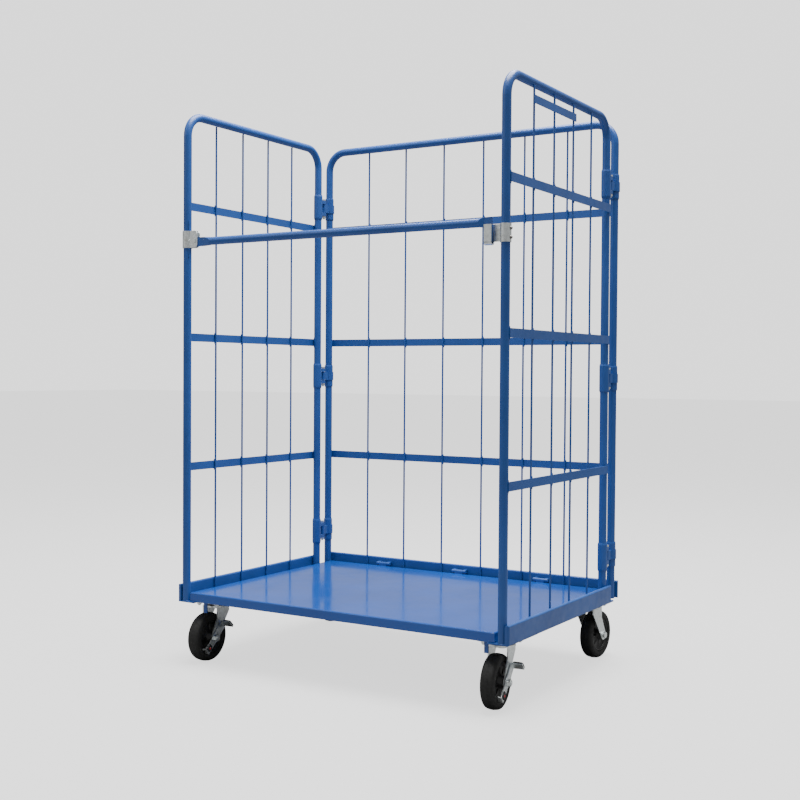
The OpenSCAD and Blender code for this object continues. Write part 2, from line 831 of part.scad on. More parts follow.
// Axle bolt and its nut; on a braked castor the nut stands outside the lever.
module axle(braked) {
    back = leg_in + leg_t;
    out = braked ? nut_out : back;
    color(zinc) translate([0, -trail, axle_z]) {
        translate([-back - 1, 0, 0]) rod_x(axle_r, back + out + 12);
        translate([-back - 7, 0, 0]) rotate([0, 90, 0]) hex_z(18, 7);
        translate([out, 0, 0]) difference() {
            rotate([0, 90, 0]) hex_z(18, 9);
            translate([-1, 0, 0]) rod_x(axle_r + tight_gap, 12);
        }
    }
}

rim_r = 52;
hub_half = leg_in - 1;

module rim() {
    color(black) translate([-hub_half, -trail, axle_z]) rotate([0, 90, 0]) rotate_extrude(angle = 360) {
        translate([axle_r + run_gap, 0]) square([11, 2 * hub_half]);
        translate([axle_r + 8, hub_half - 5]) square([rim_r - axle_r - 10, 10]);
        translate([rim_r - 6, hub_half - tyre_w / 2 + 3]) square([6, tyre_w - 6]);
    }
}

module tyre() {
    color(black) translate([-tyre_w / 2, -trail, axle_z]) rotate([0, 90, 0]) rotate_extrude(angle = 360) {
        translate([rim_r + weld_gap, 0]) square([wheel_r - rim_r - weld_gap - shoulder_r, tyre_w]);
        translate([rim_r + weld_gap, shoulder_r]) square([wheel_r - rim_r - weld_gap, tyre_w - 2 * shoulder_r]);
        for (y = [shoulder_r, tyre_w - shoulder_r])
            translate([wheel_r - shoulder_r, y]) circle(r = shoulder_r);
    }
}

lever_rest = 43.5;
lever_up = 56;
lever_down = 55;
lever_w = 24;
pedal_w = 30;

// The lever lies along Y, pedal towards +Y, and is tipped up round the axle to its rest.
module at_lever() {
    translate([0, -trail, axle_z]) rotate([lever_rest, 0, 0]) children();
}

// Plate on the axle, a pedal bent outwards and a lip bent in beside the tyre.
module brake_lever() {
    color(zinc) at_lever() difference() {
        union() {
            translate([lever_x, 0, 0]) rod_x(15, lever_t);
            translate([lever_x, -lever_down, -lever_w / 2]) cube([lever_t, lever_up + lever_down, lever_w]);
            translate([lever_x, lever_up - 3, -lever_w / 2]) cube([lever_t + pedal_w, 3, lever_w]);
            translate([tyre_w / 2 + 2, -lever_down, -lever_w / 2])
                cube([lever_x + lever_t - tyre_w / 2 - 2, 3, lever_w]);
        }
        translate([lever_x - 1, 0, 0]) rod_x(axle_r + run_gap, lever_t + 2);
    }
}

module brake_pad() {
    color(black) at_lever() translate([lever_x + lever_t + 1, lever_up + weld_gap, -lever_w / 2 - 1])
        cube([pedal_w, 4, lever_w + 2]);
}

module fl_fork() { at_fl() fork(); }
module fl_axle() { at_fl() axle(true); }
module fl_rim() { at_fl() rim(); }
module fl_tyre() { at_fl() tyre(); }
module fl_brake_lever() { at_fl() brake_lever(); }
module fl_brake_pad() { at_fl() brake_pad(); }
module fr_fork() { at_fr() fork(); }
module fr_axle() { at_fr() axle(true); }
module fr_rim() { at_fr() rim(); }
module fr_tyre() { at_fr() tyre(); }
module fr_brake_lever() { at_fr() brake_lever(); }
module fr_brake_pad() { at_fr() brake_pad(); }
module rl_fork() { at_rl() fork(); }
module rl_axle() { at_rl() axle(false); }
module rl_rim() { at_rl() rim(); }
module rl_tyre() { at_rl() tyre(); }
module rr_fork() { at_rr() fork(); }
module rr_axle() { at_rr() axle(false); }
module rr_rim() { at_rr() rim(); }
module rr_tyre() { at_rr() tyre(); }

// ---------------------------------------------------------------- the part

back_frame_tube();
back_mesh_wires();
back_flats();
back_rail();
back_hinge_straps();
hinge_bolts();
deck_hinge_brackets();
deck_hinge_pins();
left_frame_tube();
left_wires();
left_flats();
left_rail();
left_ledge();
left_hinge_saddles();
left_castor_pads();
left_castor_plates();
left_kingpins();
left_castor_bolts();
left_swivel_bearings();
bar_stops();
right_frame_tube();
right_wires();
right_flats();
right_rail();
right_ledge();
right_hinge_saddles();
right_castor_pads();
right_castor_plates();
right_kingpins();
right_castor_bolts();
right_swivel_bearings();
label_plate();
bar_hook();
hook_rivets();
deck_pan();
deck_ribs();
deck_hinge_lugs();
bar_collar();
bar_rivet();
front_bar();
fl_fork();
fl_axle();
fl_rim();
fl_tyre();
fl_brake_lever();
fl_brake_pad();
fr_fork();
fr_axle();
fr_rim();
fr_tyre();
fr_brake_lever();
fr_brake_pad();
rl_fork();
rl_axle();
rl_rim();
rl_tyre();
rr_fork();
rr_axle();
rr_rim();
rr_tyre();
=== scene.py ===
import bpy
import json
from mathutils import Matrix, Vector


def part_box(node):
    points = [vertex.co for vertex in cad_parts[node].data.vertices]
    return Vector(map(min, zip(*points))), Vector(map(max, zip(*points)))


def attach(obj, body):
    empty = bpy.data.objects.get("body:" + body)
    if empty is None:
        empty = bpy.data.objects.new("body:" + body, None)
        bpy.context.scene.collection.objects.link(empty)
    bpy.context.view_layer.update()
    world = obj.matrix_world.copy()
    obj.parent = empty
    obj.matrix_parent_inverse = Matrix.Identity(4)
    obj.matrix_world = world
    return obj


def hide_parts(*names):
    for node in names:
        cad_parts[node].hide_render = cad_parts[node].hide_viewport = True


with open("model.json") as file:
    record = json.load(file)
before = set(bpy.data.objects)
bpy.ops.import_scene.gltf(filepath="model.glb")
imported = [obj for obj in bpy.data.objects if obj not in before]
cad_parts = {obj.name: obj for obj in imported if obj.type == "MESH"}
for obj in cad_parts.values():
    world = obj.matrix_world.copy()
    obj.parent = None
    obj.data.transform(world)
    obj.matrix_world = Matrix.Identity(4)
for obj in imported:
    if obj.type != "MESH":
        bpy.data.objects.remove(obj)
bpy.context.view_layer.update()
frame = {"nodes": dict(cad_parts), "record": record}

import json
import math

import bmesh
import bpy
import numpy as np
from bpy.props import FloatProperty, FloatVectorProperty, IntProperty, PointerProperty
from mathutils import Matrix, Vector

bl_info = {
    "name": "Roll Cage Finish",
    "version": (1, 0, 0),
    "blender": (4, 5, 0),
    "location": "View3D > Sidebar > Roll Cage",
    "description": "Paints a mesh roll cage, dresses its welds and castors, and sets up its studio",
    "category": "Object",
}

UP = Vector((0, 0, 1))
CASTORS = ("fl", "fr", "rl", "rr")
BRAKED = ("fl", "fr")
SIDES = {"left": -1, "right": 1}
JOINTS = {joint["name"]: joint for joint in frame["record"]["behaviour"]["joints"]}
SLOTS = {part["node"]: part["material_slot"] for part in frame["record"]["subparts"]}

# Wheels, in metres: half widths along the axle, radii, heights on the web, the tyre's gap; steps round it.
TYRE_HALF, HUB_HALF, RIM_HALF, WEB_HALF = 0.020, 0.025, 0.0168, 0.0105
BORE, BOSS = 0.00606, 0.0165
RIB, SWELL = 0.0030, 0.004
SEAT_GAP = 0.00005
TYRE_STEPS, HUB_STEPS = 112, 160

# Brake levers: places out along the axle and up the long arm, and radii along the lever's three axes.
LEVER_REST = math.radians(43.5)
PAD_OUT, PAD_UP = 0.0500, 0.0582
PAD_RADII = (0.0150, 0.0021, 0.0135)
PAD_RIB_RADII = (0.0138, 0.0011, 0.0009)
GRIP_OUT, GRIP_UP = 0.0350, -0.040
GRIP_RADII = (0.0022, 0.0100, 0.0088)
SPOT_RADII = (0.0006, 0.0034, 0.0034)


def colour(name, description, default):
    """Property for a linear colour."""
    return FloatVectorProperty(name=name, description=description, subtype="COLOR", size=3, default=default,
                               min=0, max=1)


def length(name, description, default):
    """Property for a length in metres."""
    return FloatProperty(name=name, description=description, default=default, unit="LENGTH", min=0)


class PaintSettings(bpy.types.PropertyGroup):
    """Powder coat of the frame and the deck."""
    frame_blue: colour("Frame blue", "Colour of the panels' powder coat", (0.0165, 0.074, 0.280))
    deck_blue: colour("Deck blue", "Colour of the deck's powder coat", (0.0050, 0.058, 0.285))
    peel: length("Peel", "Width of the coat's fine ripples", 0.0030)
    ripple: length("Ripple", "Depth of the coat's fine ripples", 0.00004)
    scuff: FloatProperty(name="Scuff", description="How strong the rub marks are", default=0.35, min=0, max=1)


class MetalSettings(bpy.types.PropertyGroup):
    """Plated and bare metal."""
    zinc: colour("Zinc", "Colour of bright zinc plate", (0.84, 0.88, 0.88))
    steel: colour("Steel", "Colour of bare steel", (0.22, 0.21, 0.20))
    spangle: length("Spangle", "Size of the plate's cloudy patches", 0.009)


class RubberSettings(bpy.types.PropertyGroup):
    """Wheels and pedal rubbers."""
    rubber: colour("Rubber", "Colour of the tyres", (0.0045, 0.0045, 0.0042))
    hub: colour("Hub", "Colour of the moulded wheel centres", (0.004, 0.004, 0.004))
    spot: colour("Spot", "Colour of the mark on a brake lever", (0.55, 0.02, 0.03))
    crown: length("Crown", "How far the middle of a tread stands over its shoulders", 0.0012)
    spokes: IntProperty(name="Spokes", description="Ribs on a wheel's web", default=8, min=3, max=16)
    ribs: IntProperty(name="Ribs", description="Grip ribs on a pedal rubber", default=5, min=2, max=12)


class WeldSettings(bpy.types.PropertyGroup):
    """Weld beads."""
    bead_width: length("Bead width", "Half width of a bead", 0.0014)
    bead_length: length("Bead length", "Half length of a bead", 0.0058)


class StageSettings(bpy.types.PropertyGroup):
    """Camera and studio."""
    lens: FloatProperty(name="Lens", description="Focal length in millimetres", default=53.82)
    eye: FloatVectorProperty(name="Eye", description="Camera place", subtype="TRANSLATION", unit="LENGTH",
                             default=(1.942, -3.202, 0.898))
    yaw: FloatProperty(name="Yaw", description="Turn of the view to the left of +Y", subtype="ANGLE",
                       default=math.radians(31.43))
    pitch: FloatProperty(name="Pitch", description="Tip of the view below level", subtype="ANGLE",
                         default=math.radians(1.29))
    roll: FloatProperty(name="Roll", description="Turn of the picture about the view", subtype="ANGLE",
                        default=math.radians(0.37))
    floor: colour("Floor", "Colour of the floor", (0.25, 0.25, 0.25))
    air: FloatProperty(name="Air", description="Brightness of the light from all round", default=0.45, min=0)
    paper: FloatProperty(name="Paper", description="Brightness of the pale wall as seen", default=1.8, min=0)
    ground: FloatProperty(name="Ground", description="Brightness of the floor as seen", default=1.45, min=0)
    key_power: FloatProperty(name="Key power", description="Watts of the front left light", default=38, min=0)
    top_power: FloatProperty(name="Top power", description="Watts of the light overhead", default=600, min=0)


SETTINGS = {"paint": PaintSettings, "metal": MetalSettings, "rubber": RubberSettings, "weld": WeldSettings,
            "stage": StageSettings}


def settings(name):
    """One of the scene's groups of sizes and colours."""
    return getattr(bpy.context.scene, "roll_cage_" + name)


# ---------------------------------------------------------------- materials

class Finish:
    """A Principled material being built, whose patterns use Object coordinates."""

    def __init__(self, name, base, roughness, **constants):
        self.material = bpy.data.materials.get(name) or bpy.data.materials.new(name)
        self.material.use_nodes = True
        self.tree = self.material.node_tree
        self.tree.nodes.clear()
        self.shader = self.node("ShaderNodeBsdfPrincipled")
        self.shader.inputs["Base Color"].default_value = (*base, 1)
        self.shader.inputs["Roughness"].default_value = roughness
        for socket, value in constants.items():
            self.shader.inputs[socket.replace("_", " ")].default_value = value
        output = self.node("ShaderNodeOutputMaterial")
        self.tree.links.new(self.shader.outputs[0], output.inputs[0])
        self.place = self.node("ShaderNodeTexCoord").outputs["Object"]
        self.normal = None

    def node(self, kind, **values):
        """A node with the given properties."""
        made = self.tree.nodes.new(kind)
        for key, value in values.items():
            setattr(made, key, value)
        return made

    def noise(self, size, detail=3.0, stretch=(1, 1, 1), distortion=0.0):
        """Noise whose features are about size metres, drawn out by stretch along X, Y and Z."""
        mapping = self.node("ShaderNodeMapping")
        mapping.inputs["Scale"].default_value = [1 / (size * factor) for factor in stretch]
        self.tree.links.new(self.place, mapping.inputs["Vector"])
        noise = self.node("ShaderNodeTexNoise")
        noise.inputs["Scale"].default_value = 1.0
        noise.inputs["Detail"].default_value = detail
        noise.inputs["Distortion"].default_value = distortion
        self.tree.links.new(mapping.outputs[0], noise.inputs["Vector"])
        return noise.outputs["Fac"]

    def spread(self, value, low, high, to_low=0.0, to_high=1.0):
        """Value mapped from low..high to to_low..to_high, held at the ends."""
        ramp = self.node("ShaderNodeMapRange", clamp=True)
        for socket, number in zip(("From Min", "From Max", "To Min", "To Max"), (low, high, to_low, to_high)):
            ramp.inputs[socket].default_value = number
        self.tree.links.new(value, ramp.inputs["Value"])
        return ramp.outputs["Result"]

    def tint(self, mask, other):
        """Mixes the base colour so far with another where mask is high."""
        mix = self.node("ShaderNodeMix", data_type="RGBA")
        base = self.shader.inputs["Base Color"]
        if base.is_linked:
            self.tree.links.new(base.links[0].from_socket, mix.inputs[6])
        else:
            mix.inputs[6].default_value = base.default_value
        mix.inputs[7].default_value = (*other, 1)
        self.tree.links.new(mask, mix.inputs[0])
        self.tree.links.new(mix.outputs[2], base)

    def sheen(self, value):
        """Drives the roughness."""
        self.tree.links.new(value, self.shader.inputs["Roughness"])

    def bump(self, value, depth):
        """Adds relief of the given depth in metres."""
        bump = self.node("ShaderNodeBump")
        bump.inputs["Distance"].default_value = depth
        bump.inputs["Strength"].default_value = 1.0
        self.tree.links.new(value, bump.inputs["Height"])
        if self.normal:
            self.tree.links.new(self.normal, bump.inputs["Normal"])
        self.normal = bump.outputs[0]
        self.tree.links.new(self.normal, self.shader.inputs["Normal"])


def scaled(base, factor):
    """A colour made lighter or darker."""
    return tuple(min(1.0, part * factor) for part in base)


def powder_coat():
    """Semi-gloss blue powder coat: orange peel, slow shifts of shade and faint rub marks."""
    paint = settings("paint")
    finish = Finish("frame_powder_coat", paint.frame_blue, 0.4, Specular_IOR_Level=0.4, Coat_Weight=0.1,
                    Coat_Roughness=0.2)
    finish.tint(finish.spread(finish.noise(0.16), 0.35, 0.7), scaled(paint.frame_blue, 1.22))
    rubs = finish.spread(finish.noise(0.012, 6, (1, 1, 5), 0.6), 0.62, 0.78, 0, paint.scuff)
    finish.tint(rubs, scaled(paint.frame_blue, 1.7))
    finish.sheen(finish.spread(finish.noise(0.03, 5), 0.3, 0.7, 0.34, 0.50))
    finish.bump(finish.noise(paint.peel, 2), paint.ripple)
    return finish.material


def deck_coat():
    """Glossier deck coat with fine drag scratches from loads pushed in and a few dull patches."""
    paint = settings("paint")
    finish = Finish("deck_powder_coat", paint.deck_blue, 0.2, Coat_Weight=0.15, Coat_Roughness=0.05)
    finish.tint(finish.spread(finish.noise(0.3, 2), 0.35, 0.7), scaled(paint.deck_blue, 1.25))
    scratches = finish.spread(finish.noise(0.0012, 4, (1, 90, 1), 0.2), 0.66, 0.74, 0, paint.scuff)
    finish.tint(scratches, scaled(paint.deck_blue, 2.0))
    finish.sheen(finish.spread(finish.noise(0.09, 5), 0.35, 0.7, 0.12, 0.22))
    finish.bump(finish.noise(paint.peel * 1.6, 2), paint.ripple * 0.7)
    finish.bump(scratches, 0.00004)
    return finish.material


def zinc_plate():
    """Bright zinc: cloudy patches, a touch of yellow passivation and fine rolling lines."""
    metal = settings("metal")
    finish = Finish("zinc_plate", metal.zinc, 0.34, Metallic=1.0)
    finish.tint(finish.spread(finish.noise(metal.spangle, 4), 0.4, 0.65), scaled(metal.zinc, 0.82))
    finish.tint(finish.spread(finish.noise(0.022, 3), 0.52, 0.75, 0, 0.35), (0.62, 0.61, 0.50))
    finish.sheen(finish.spread(finish.noise(metal.spangle * 0.6, 5), 0.3, 0.7, 0.26, 0.46))
    finish.bump(finish.noise(0.0006, 3, (1, 1, 14)), 0.00002)
    return finish.material


def rivet_steel():
    """Bare steel darkened by handling, with small pits."""
    metal = settings("metal")
    finish = Finish("rivet_steel", metal.steel, 0.42, Metallic=1.0)
    finish.tint(finish.spread(finish.noise(0.003, 5), 0.5, 0.72), (0.09, 0.07, 0.055))
    finish.sheen(finish.spread(finish.noise(0.0015, 4), 0.3, 0.7, 0.34, 0.6))
    finish.bump(finish.noise(0.0008, 4), 0.00004)
    return finish.material


def tyre_rubber():
    """Matt black rubber with a fine grain, grey bloom and dust picked up from the floor."""
    rubber = settings("rubber")
    finish = Finish("tyre_rubber", rubber.rubber, 0.72)
    finish.tint(finish.spread(finish.noise(0.02, 4), 0.42, 0.72), scaled(rubber.rubber, 1.7))
    finish.tint(finish.spread(finish.noise(0.0016, 5), 0.62, 0.74, 0, 0.2), (0.08, 0.077, 0.07))
    finish.sheen(finish.spread(finish.noise(0.008, 4), 0.3, 0.7, 0.58, 0.82))
    finish.bump(finish.noise(0.0005, 3), 0.00005)
    return finish.material


def pedal_rubber():
    """Dark moulded grip, worn smoother in patches."""
    rubber = settings("rubber")
    finish = Finish("pedal_rubber", scaled(rubber.rubber, 1.2), 0.6)
    finish.tint(finish.spread(finish.noise(0.004, 4), 0.5, 0.75), (0.075, 0.073, 0.07))
    finish.sheen(finish.spread(finish.noise(0.003, 4), 0.3, 0.7, 0.42, 0.72))
    finish.bump(finish.noise(0.0004, 3), 0.00004)
    return finish.material


def hub_plastic():
    """Black moulded wheel centre with a low satin sheen."""
    rubber = settings("rubber")
    finish = Finish("hub_plastic", rubber.hub, 0.45)
    finish.tint(finish.spread(finish.noise(0.006, 4), 0.5, 0.75), scaled(rubber.hub, 2.4))
    finish.sheen(finish.spread(finish.noise(0.004, 4), 0.3, 0.7, 0.36, 0.56))
    finish.bump(finish.noise(0.0007, 2), 0.00003)
    return finish.material


def bearing_seal():
    """Near-black seal of a swivel race: painted shade of the gap between swivel plate and fork, with patches
    of brown grease.
    """
    # near-black base colour: painted shade of the swivel gap; the brown patches below are grease
    finish = Finish("bearing_seal", (0.016, 0.016, 0.017), 0.36)
    finish.tint(finish.spread(finish.noise(0.005, 4), 0.5, 0.7), (0.045, 0.038, 0.028))
    finish.sheen(finish.spread(finish.noise(0.004, 3), 0.3, 0.7, 0.22, 0.5))
    finish.bump(finish.noise(0.0009, 3), 0.00004)
    return finish.material


def spot_enamel():
    """Small glossy enamel mark on a brake lever."""
    spot = settings("rubber").spot
    finish = Finish("spot_enamel", spot, 0.3)
    finish.tint(finish.spread(finish.noise(0.002, 3), 0.5, 0.75), scaled(spot, 0.6))
    finish.sheen(finish.spread(finish.noise(0.001, 3), 0.3, 0.7, 0.24, 0.4))
    return finish.material


FINISHES = {
    "blue_paint": powder_coat,
    "deck_paint": deck_coat,
    "zinc_plate": zinc_plate,
    "rivet_steel": rivet_steel,
    "bearing_seal": bearing_seal,
    "black_hub": hub_plastic,
    "tyre_rubber": tyre_rubber,
    "pedal_rubber": pedal_rubber,
}


# ---------------------------------------------------------------- meshes

def piece(name, mesh, material, body):
    """Links a finished mesh at the origin and ties it to its body and slot."""
    shown = bpy.data.objects.new(name, mesh)
    bpy.context.scene.collection.objects.link(shown)
    mesh.materials.append(material)
    mesh.polygons.foreach_set("use_smooth", [True] * len(mesh.polygons))
    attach(shown, body)
    return shown


def shell(name, surfaces):
    """Mesh of closed surfaces, each given as (points, faces), with its faces turned outwards."""
    points, faces = [], []
    for some_points, some_faces in surfaces:
        faces += [[index + len(points) for index in face] for face in some_faces]
        points += [tuple(point) for point in some_points]
    mesh = bpy.data.meshes.new(name)
    mesh.from_pydata(points, [], faces)
    work = bmesh.new()
    work.from_mesh(mesh)
    bmesh.ops.recalc_face_normals(work, faces=work.faces)
    work.to_mesh(mesh)
    work.free()
    return mesh


def ring_grid(grid):
    """Faces of an (m, n, 3) grid that closes on itself both ways."""
    rows, columns = grid.shape[:2]
    faces = [
        (i * columns + j, (i + 1) % rows * columns + j,
         (i + 1) % rows * columns + (j + 1) % columns, i * columns + (j + 1) % columns)
        for i in range(rows) for j in range(columns)
    ]
    return grid.reshape(-1, 3), faces


def blob(centre, axes, radii, power=1.0, rows=8, columns=12):
    """Closed rounded lump: centre + sum of axes * radii * (superellipsoid with the given power)."""
    def bent(value):
        return np.sign(value) * np.abs(value) ** power

    lat = np.linspace(-math.pi / 2, math.pi / 2, rows + 1)[1:-1]
    lon = np.arange(columns) * 2 * math.pi / columns
    a = np.outer(bent(np.cos(lat)), bent(np.cos(lon))) * radii[0]
    b = np.outer(bent(np.cos(lat)), bent(np.sin(lon))) * radii[1]
    c = np.outer(bent(np.sin(lat)), np.ones(columns)) * radii[2]
    axes = np.array(axes)
    grid = np.array(centre) + a[..., None] * axes[0] + b[..., None] * axes[1] + c[..., None] * axes[2]
    points = [tuple(point) for point in grid.reshape(-1, 3)]
    bottom, top = len(points), len(points) + 1
    points += [tuple(np.array(centre) - radii[2] * axes[2]), tuple(np.array(centre) + radii[2] * axes[2])]
    faces = [(i * columns + j, i * columns + (j + 1) % columns,
              (i + 1) * columns + (j + 1) % columns, (i + 1) * columns + j)
             for i in range(len(lat) - 1) for j in range(columns)]
    last = (len(lat) - 1) * columns
    faces += [(bottom, (j + 1) % columns, j) for j in range(columns)]
    faces += [(top, last + j, last + (j + 1) % columns) for j in range(columns)]
    return points, faces


def spans(node, axis, gap=0.010):
    """Stretches that a CAD node's solids take up along one axis, split where they lie gap apart."""
    mesh = frame["nodes"][node].data
    flat = np.empty(len(mesh.vertices) * 3)
    mesh.vertices.foreach_get("co", flat)
    at = np.sort(flat.reshape(-1, 3)[:, axis])
    breaks = np.nonzero(np.diff(at) > gap)[0]
    lows = np.concatenate(([at[0]], at[breaks + 1]))
    highs = np.concatenate((at[breaks], [at[-1]]))
    return list(zip(lows, highs))


class Wheel:
    """Axes of one castor: along its axle, back towards the swivel, and up."""

    def __init__(self, key):
        spin = JOINTS[key + "_wheel_spin"]
        swivel = Vector(JOINTS[key + "_swivel_turn"]["pos_m"])
        self.centre = Vector(spin["pos_m"])
        self.along = Vector(spin["axis"]).normalized()
        self.back = Vector((swivel.x - self.centre.x, swivel.y - self.centre.y, 0)).normalized()

    def lathe(self, outline, segments):
        """Closed surface: an outline of points (s, r), or a function of the angle, turned round the axle."""
        rows = []
        for turn in np.arange(segments) * 2 * math.pi / segments:
            s, r = np.array(outline(turn) if callable(outline) else outline).T
            spoke = np.array(self.back) * math.cos(turn) + np.array(UP) * math.sin(turn)
            rows.append(np.array(self.centre) + np.outer(s, self.along) + np.outer(r, spoke))
        return ring_grid(np.array(rows))


# ---------------------------------------------------------------- operators

class CageOperator:
    """Shared options of the cage's operators."""
    bl_options = {"REGISTER", "UNDO"}


class ROLLCAGE_OT_finishes(CageOperator, bpy.types.Operator):
    """Give each piece of the cage the finish of its slot"""
    bl_idname = "rollcage.finishes"
    bl_label = "Paint and Plate"

    def execute(self, context):
        finishes = {slot: make() for slot, make in FINISHES.items()}
        for node, slot in SLOTS.items():
            mesh = frame["nodes"][node].data
            mesh.materials.clear()
            mesh.materials.append(finishes[slot])
        return {"FINISHED"}


def panel_beads(panel, plane_axis, run_axis, wires, flats, tube):
    """Beads where a panel's wires and posts meet its cross flats.

    Each bead is an ellipsoid along Z at the side of a wire, on the inner face of a flat."""
    weld = settings("weld")
    outward = 1 if np.mean(spans(flats, plane_axis)[0]) > 0 else -1
    flat_lo, flat_hi = spans(flats, plane_axis)[0]
    face = flat_lo if outward > 0 else flat_hi
    posts = spans(tube, run_axis, 10)[0]
    radius = (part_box(tube)[1][plane_axis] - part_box(tube)[0][plane_axis]) / 2
    places = []
    for lo, hi in spans(wires, run_axis):
        places += [lo - weld.bead_width * 0.3, hi + weld.bead_width * 0.3]
    places += [posts[0] + radius * 1.35, posts[1] - radius * 1.35]
    lumps = []
    for z_lo, z_hi in spans(flats, 2):
        for place in places:
            centre = [0, 0, (z_lo + z_hi) / 2]
            centre[plane_axis] = face - outward * weld.bead_width * 0.35
            centre[run_axis] = place
            lumps.append(blob(centre, np.eye(3), (weld.bead_width, weld.bead_width, weld.bead_length)))
    return lumps


def foot_ring(node, x, y, z):
    """Weld round a post's foot: reach R + b (0.4 + cos v) from the post's axis, height b sin v."""
    weld = settings("weld")
    lo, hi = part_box(node)
    radius = (hi[0] - lo[0]) / 2
    turns = np.arange(32) * 2 * math.pi / 32
    rounds = np.arange(8) * 2 * math.pi / 8
    reach = radius + weld.bead_width * (0.4 + np.cos(rounds))
    rise = z + weld.bead_width * np.sin(rounds)
    grid = np.array([
        np.stack((x + reach * math.cos(turn), y + reach * math.sin(turn), rise), axis=1) for turn in turns
    ])
    return ring_grid(grid)


class ROLLCAGE_OT_welds(CageOperator, bpy.types.Operator):
    """Add weld beads to the three panels"""
    bl_idname = "rollcage.welds"
    bl_label = "Weld Beads"

    def execute(self, context):
        coat = powder_coat()
        for side, sign in SIDES.items():
            tube = side + "_frame_tube"
            lumps = panel_beads(side, 0, 1, side + "_wires", side + "_flats", tube)
            lo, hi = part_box(tube)
            radius = (hi[0] - lo[0]) / 2
            x = (lo[0] + hi[0]) / 2
            lumps += [foot_ring(tube, x, y, lo[2]) for y in (lo[1] + radius, hi[1] - radius)]
            beads = shell(side + "_weld_beads", lumps)
            piece(side + "_weld_beads", beads, coat, side + "_panel")
        lumps = panel_beads("back", 1, 0, "back_mesh_wires", "back_flats", "back_frame_tube")
        piece("back_weld_beads", shell("back_weld_beads", lumps), coat, "back_panel")
        return {"FINISHED"}


def tyre_outline(half, inner, outer, crown):
    """Half-round shouldered tyre: a domed tread r = outer - crown (s / w)^2 with two grooves, arcs to the
    walls, a raised ring on each wall, and a straight seat on the hub."""
    shoulder = 0.45 * (outer - inner)
    tread_half = half - shoulder
    groove, groove_width = 0.0007, 0.0009
    ring_height, ring_width, seat_step = 0.0006, 0.0011, 0.0009
    tread = []
    for s in np.linspace(-tread_half, tread_half, 21):
        dip = groove * math.exp(-((abs(s) - tread_half * 0.62) / groove_width) ** 2)
        tread.append((s, outer - crown * (s / tread_half) ** 2 - dip))
    arc = []
    for turn in np.linspace(0.12, math.pi / 2, 8):
        arc.append((tread_half + shoulder * math.sin(turn), outer - crown - shoulder * (1 - math.cos(turn))))
    wall = []
    ring = inner + 0.42 * (outer - inner)
    for r in np.linspace(outer - crown - shoulder - 0.001, inner + 0.002, 12):
        bulge = ring_height * math.exp(-((r - ring) / ring_width) ** 2)
        wall.append((half + bulge - seat_step * (r < inner + 0.004), r))
    right = arc + wall + [(half - 0.003, inner)]
    return tread + right + [(-s, r) for s, r in reversed(right)]


class ROLLCAGE_OT_tyres(CageOperator, bpy.types.Operator):
    """Put a moulded tyre on each castor"""
    bl_idname = "rollcage.tyres"
    bl_label = "Tyres"

    def execute(self, context):
        material = tyre_rubber()
        for key in CASTORS:
            lo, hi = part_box(key + "_tyre")
            outer = (hi[2] - lo[2]) / 2
            rim_lo, rim_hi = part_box(key + "_rim")
            inner = (rim_hi[2] - rim_lo[2]) / 2 + SEAT_GAP
            outline = tyre_outline(TYRE_HALF, inner, outer, settings("rubber").crown)
            name = key + "_moulded_tyre"
            tyre = shell(name, [Wheel(key).lathe(outline, TYRE_STEPS)])
            made = piece(name, tyre, material, key + "_wheel")
            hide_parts(key + "_tyre")
        return {"FINISHED"}


def hub_outline(rim, spokes):
    """Outline of a wheel centre as a function of the angle t.

    Between boss and rim the web stands WEB_HALF + RIB max(0, cos(spokes t))^4 from the middle, and swells by
    SWELL (1 - share)^6 towards the boss."""
    web_in, web_out = BOSS + 0.0012, rim - 0.0075
    boss_side = [(HUB_HALF - 0.0008, BORE), (HUB_HALF, BORE + 0.0008), (HUB_HALF, BOSS - 0.002),
                 (HUB_HALF - 0.0015, BOSS)]
    rim_side = [(RIM_HALF - 0.001, rim - 0.0062), (RIM_HALF, rim - 0.0052), (RIM_HALF, rim)]

    def at(turn):
        rib = RIB * max(0.0, math.cos(spokes * turn)) ** 4
        side = list(boss_side)
        for share in np.linspace(0, 1, 9):
            edge = min(1.0, 4 * share, 4 * (1 - share))
            stand = WEB_HALF + rib * edge + SWELL * (1 - share) ** 6
            side.append((stand, web_in + (web_out - web_in) * share))
        side += rim_side
        return side + [(-s, r) for s, r in reversed(side)]
    return at


class ROLLCAGE_OT_hubs(CageOperator, bpy.types.Operator):
    """Put a ribbed wheel centre in each tyre"""
    bl_idname = "rollcage.hubs"
    bl_label = "Wheel Centres"

    def execute(self, context):
        material = hub_plastic()
        for key in CASTORS:
            lo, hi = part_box(key + "_rim")
            outline = hub_outline((hi[2] - lo[2]) / 2, settings("rubber").spokes)
            name = key + "_ribbed_hub"
            hub = shell(name, [Wheel(key).lathe(outline, HUB_STEPS)])
            made = piece(name, hub, material, key + "_wheel")
            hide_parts(key + "_rim")
        return {"FINISHED"}


def lever_axes(wheel):
    """Axes of a brake lever: out along the axle, up its long arm, and across it."""
    arm = wheel.back * math.cos(LEVER_REST) + UP * math.sin(LEVER_REST)
    return [list(wheel.along), list(arm), list(wheel.along.cross(arm))]


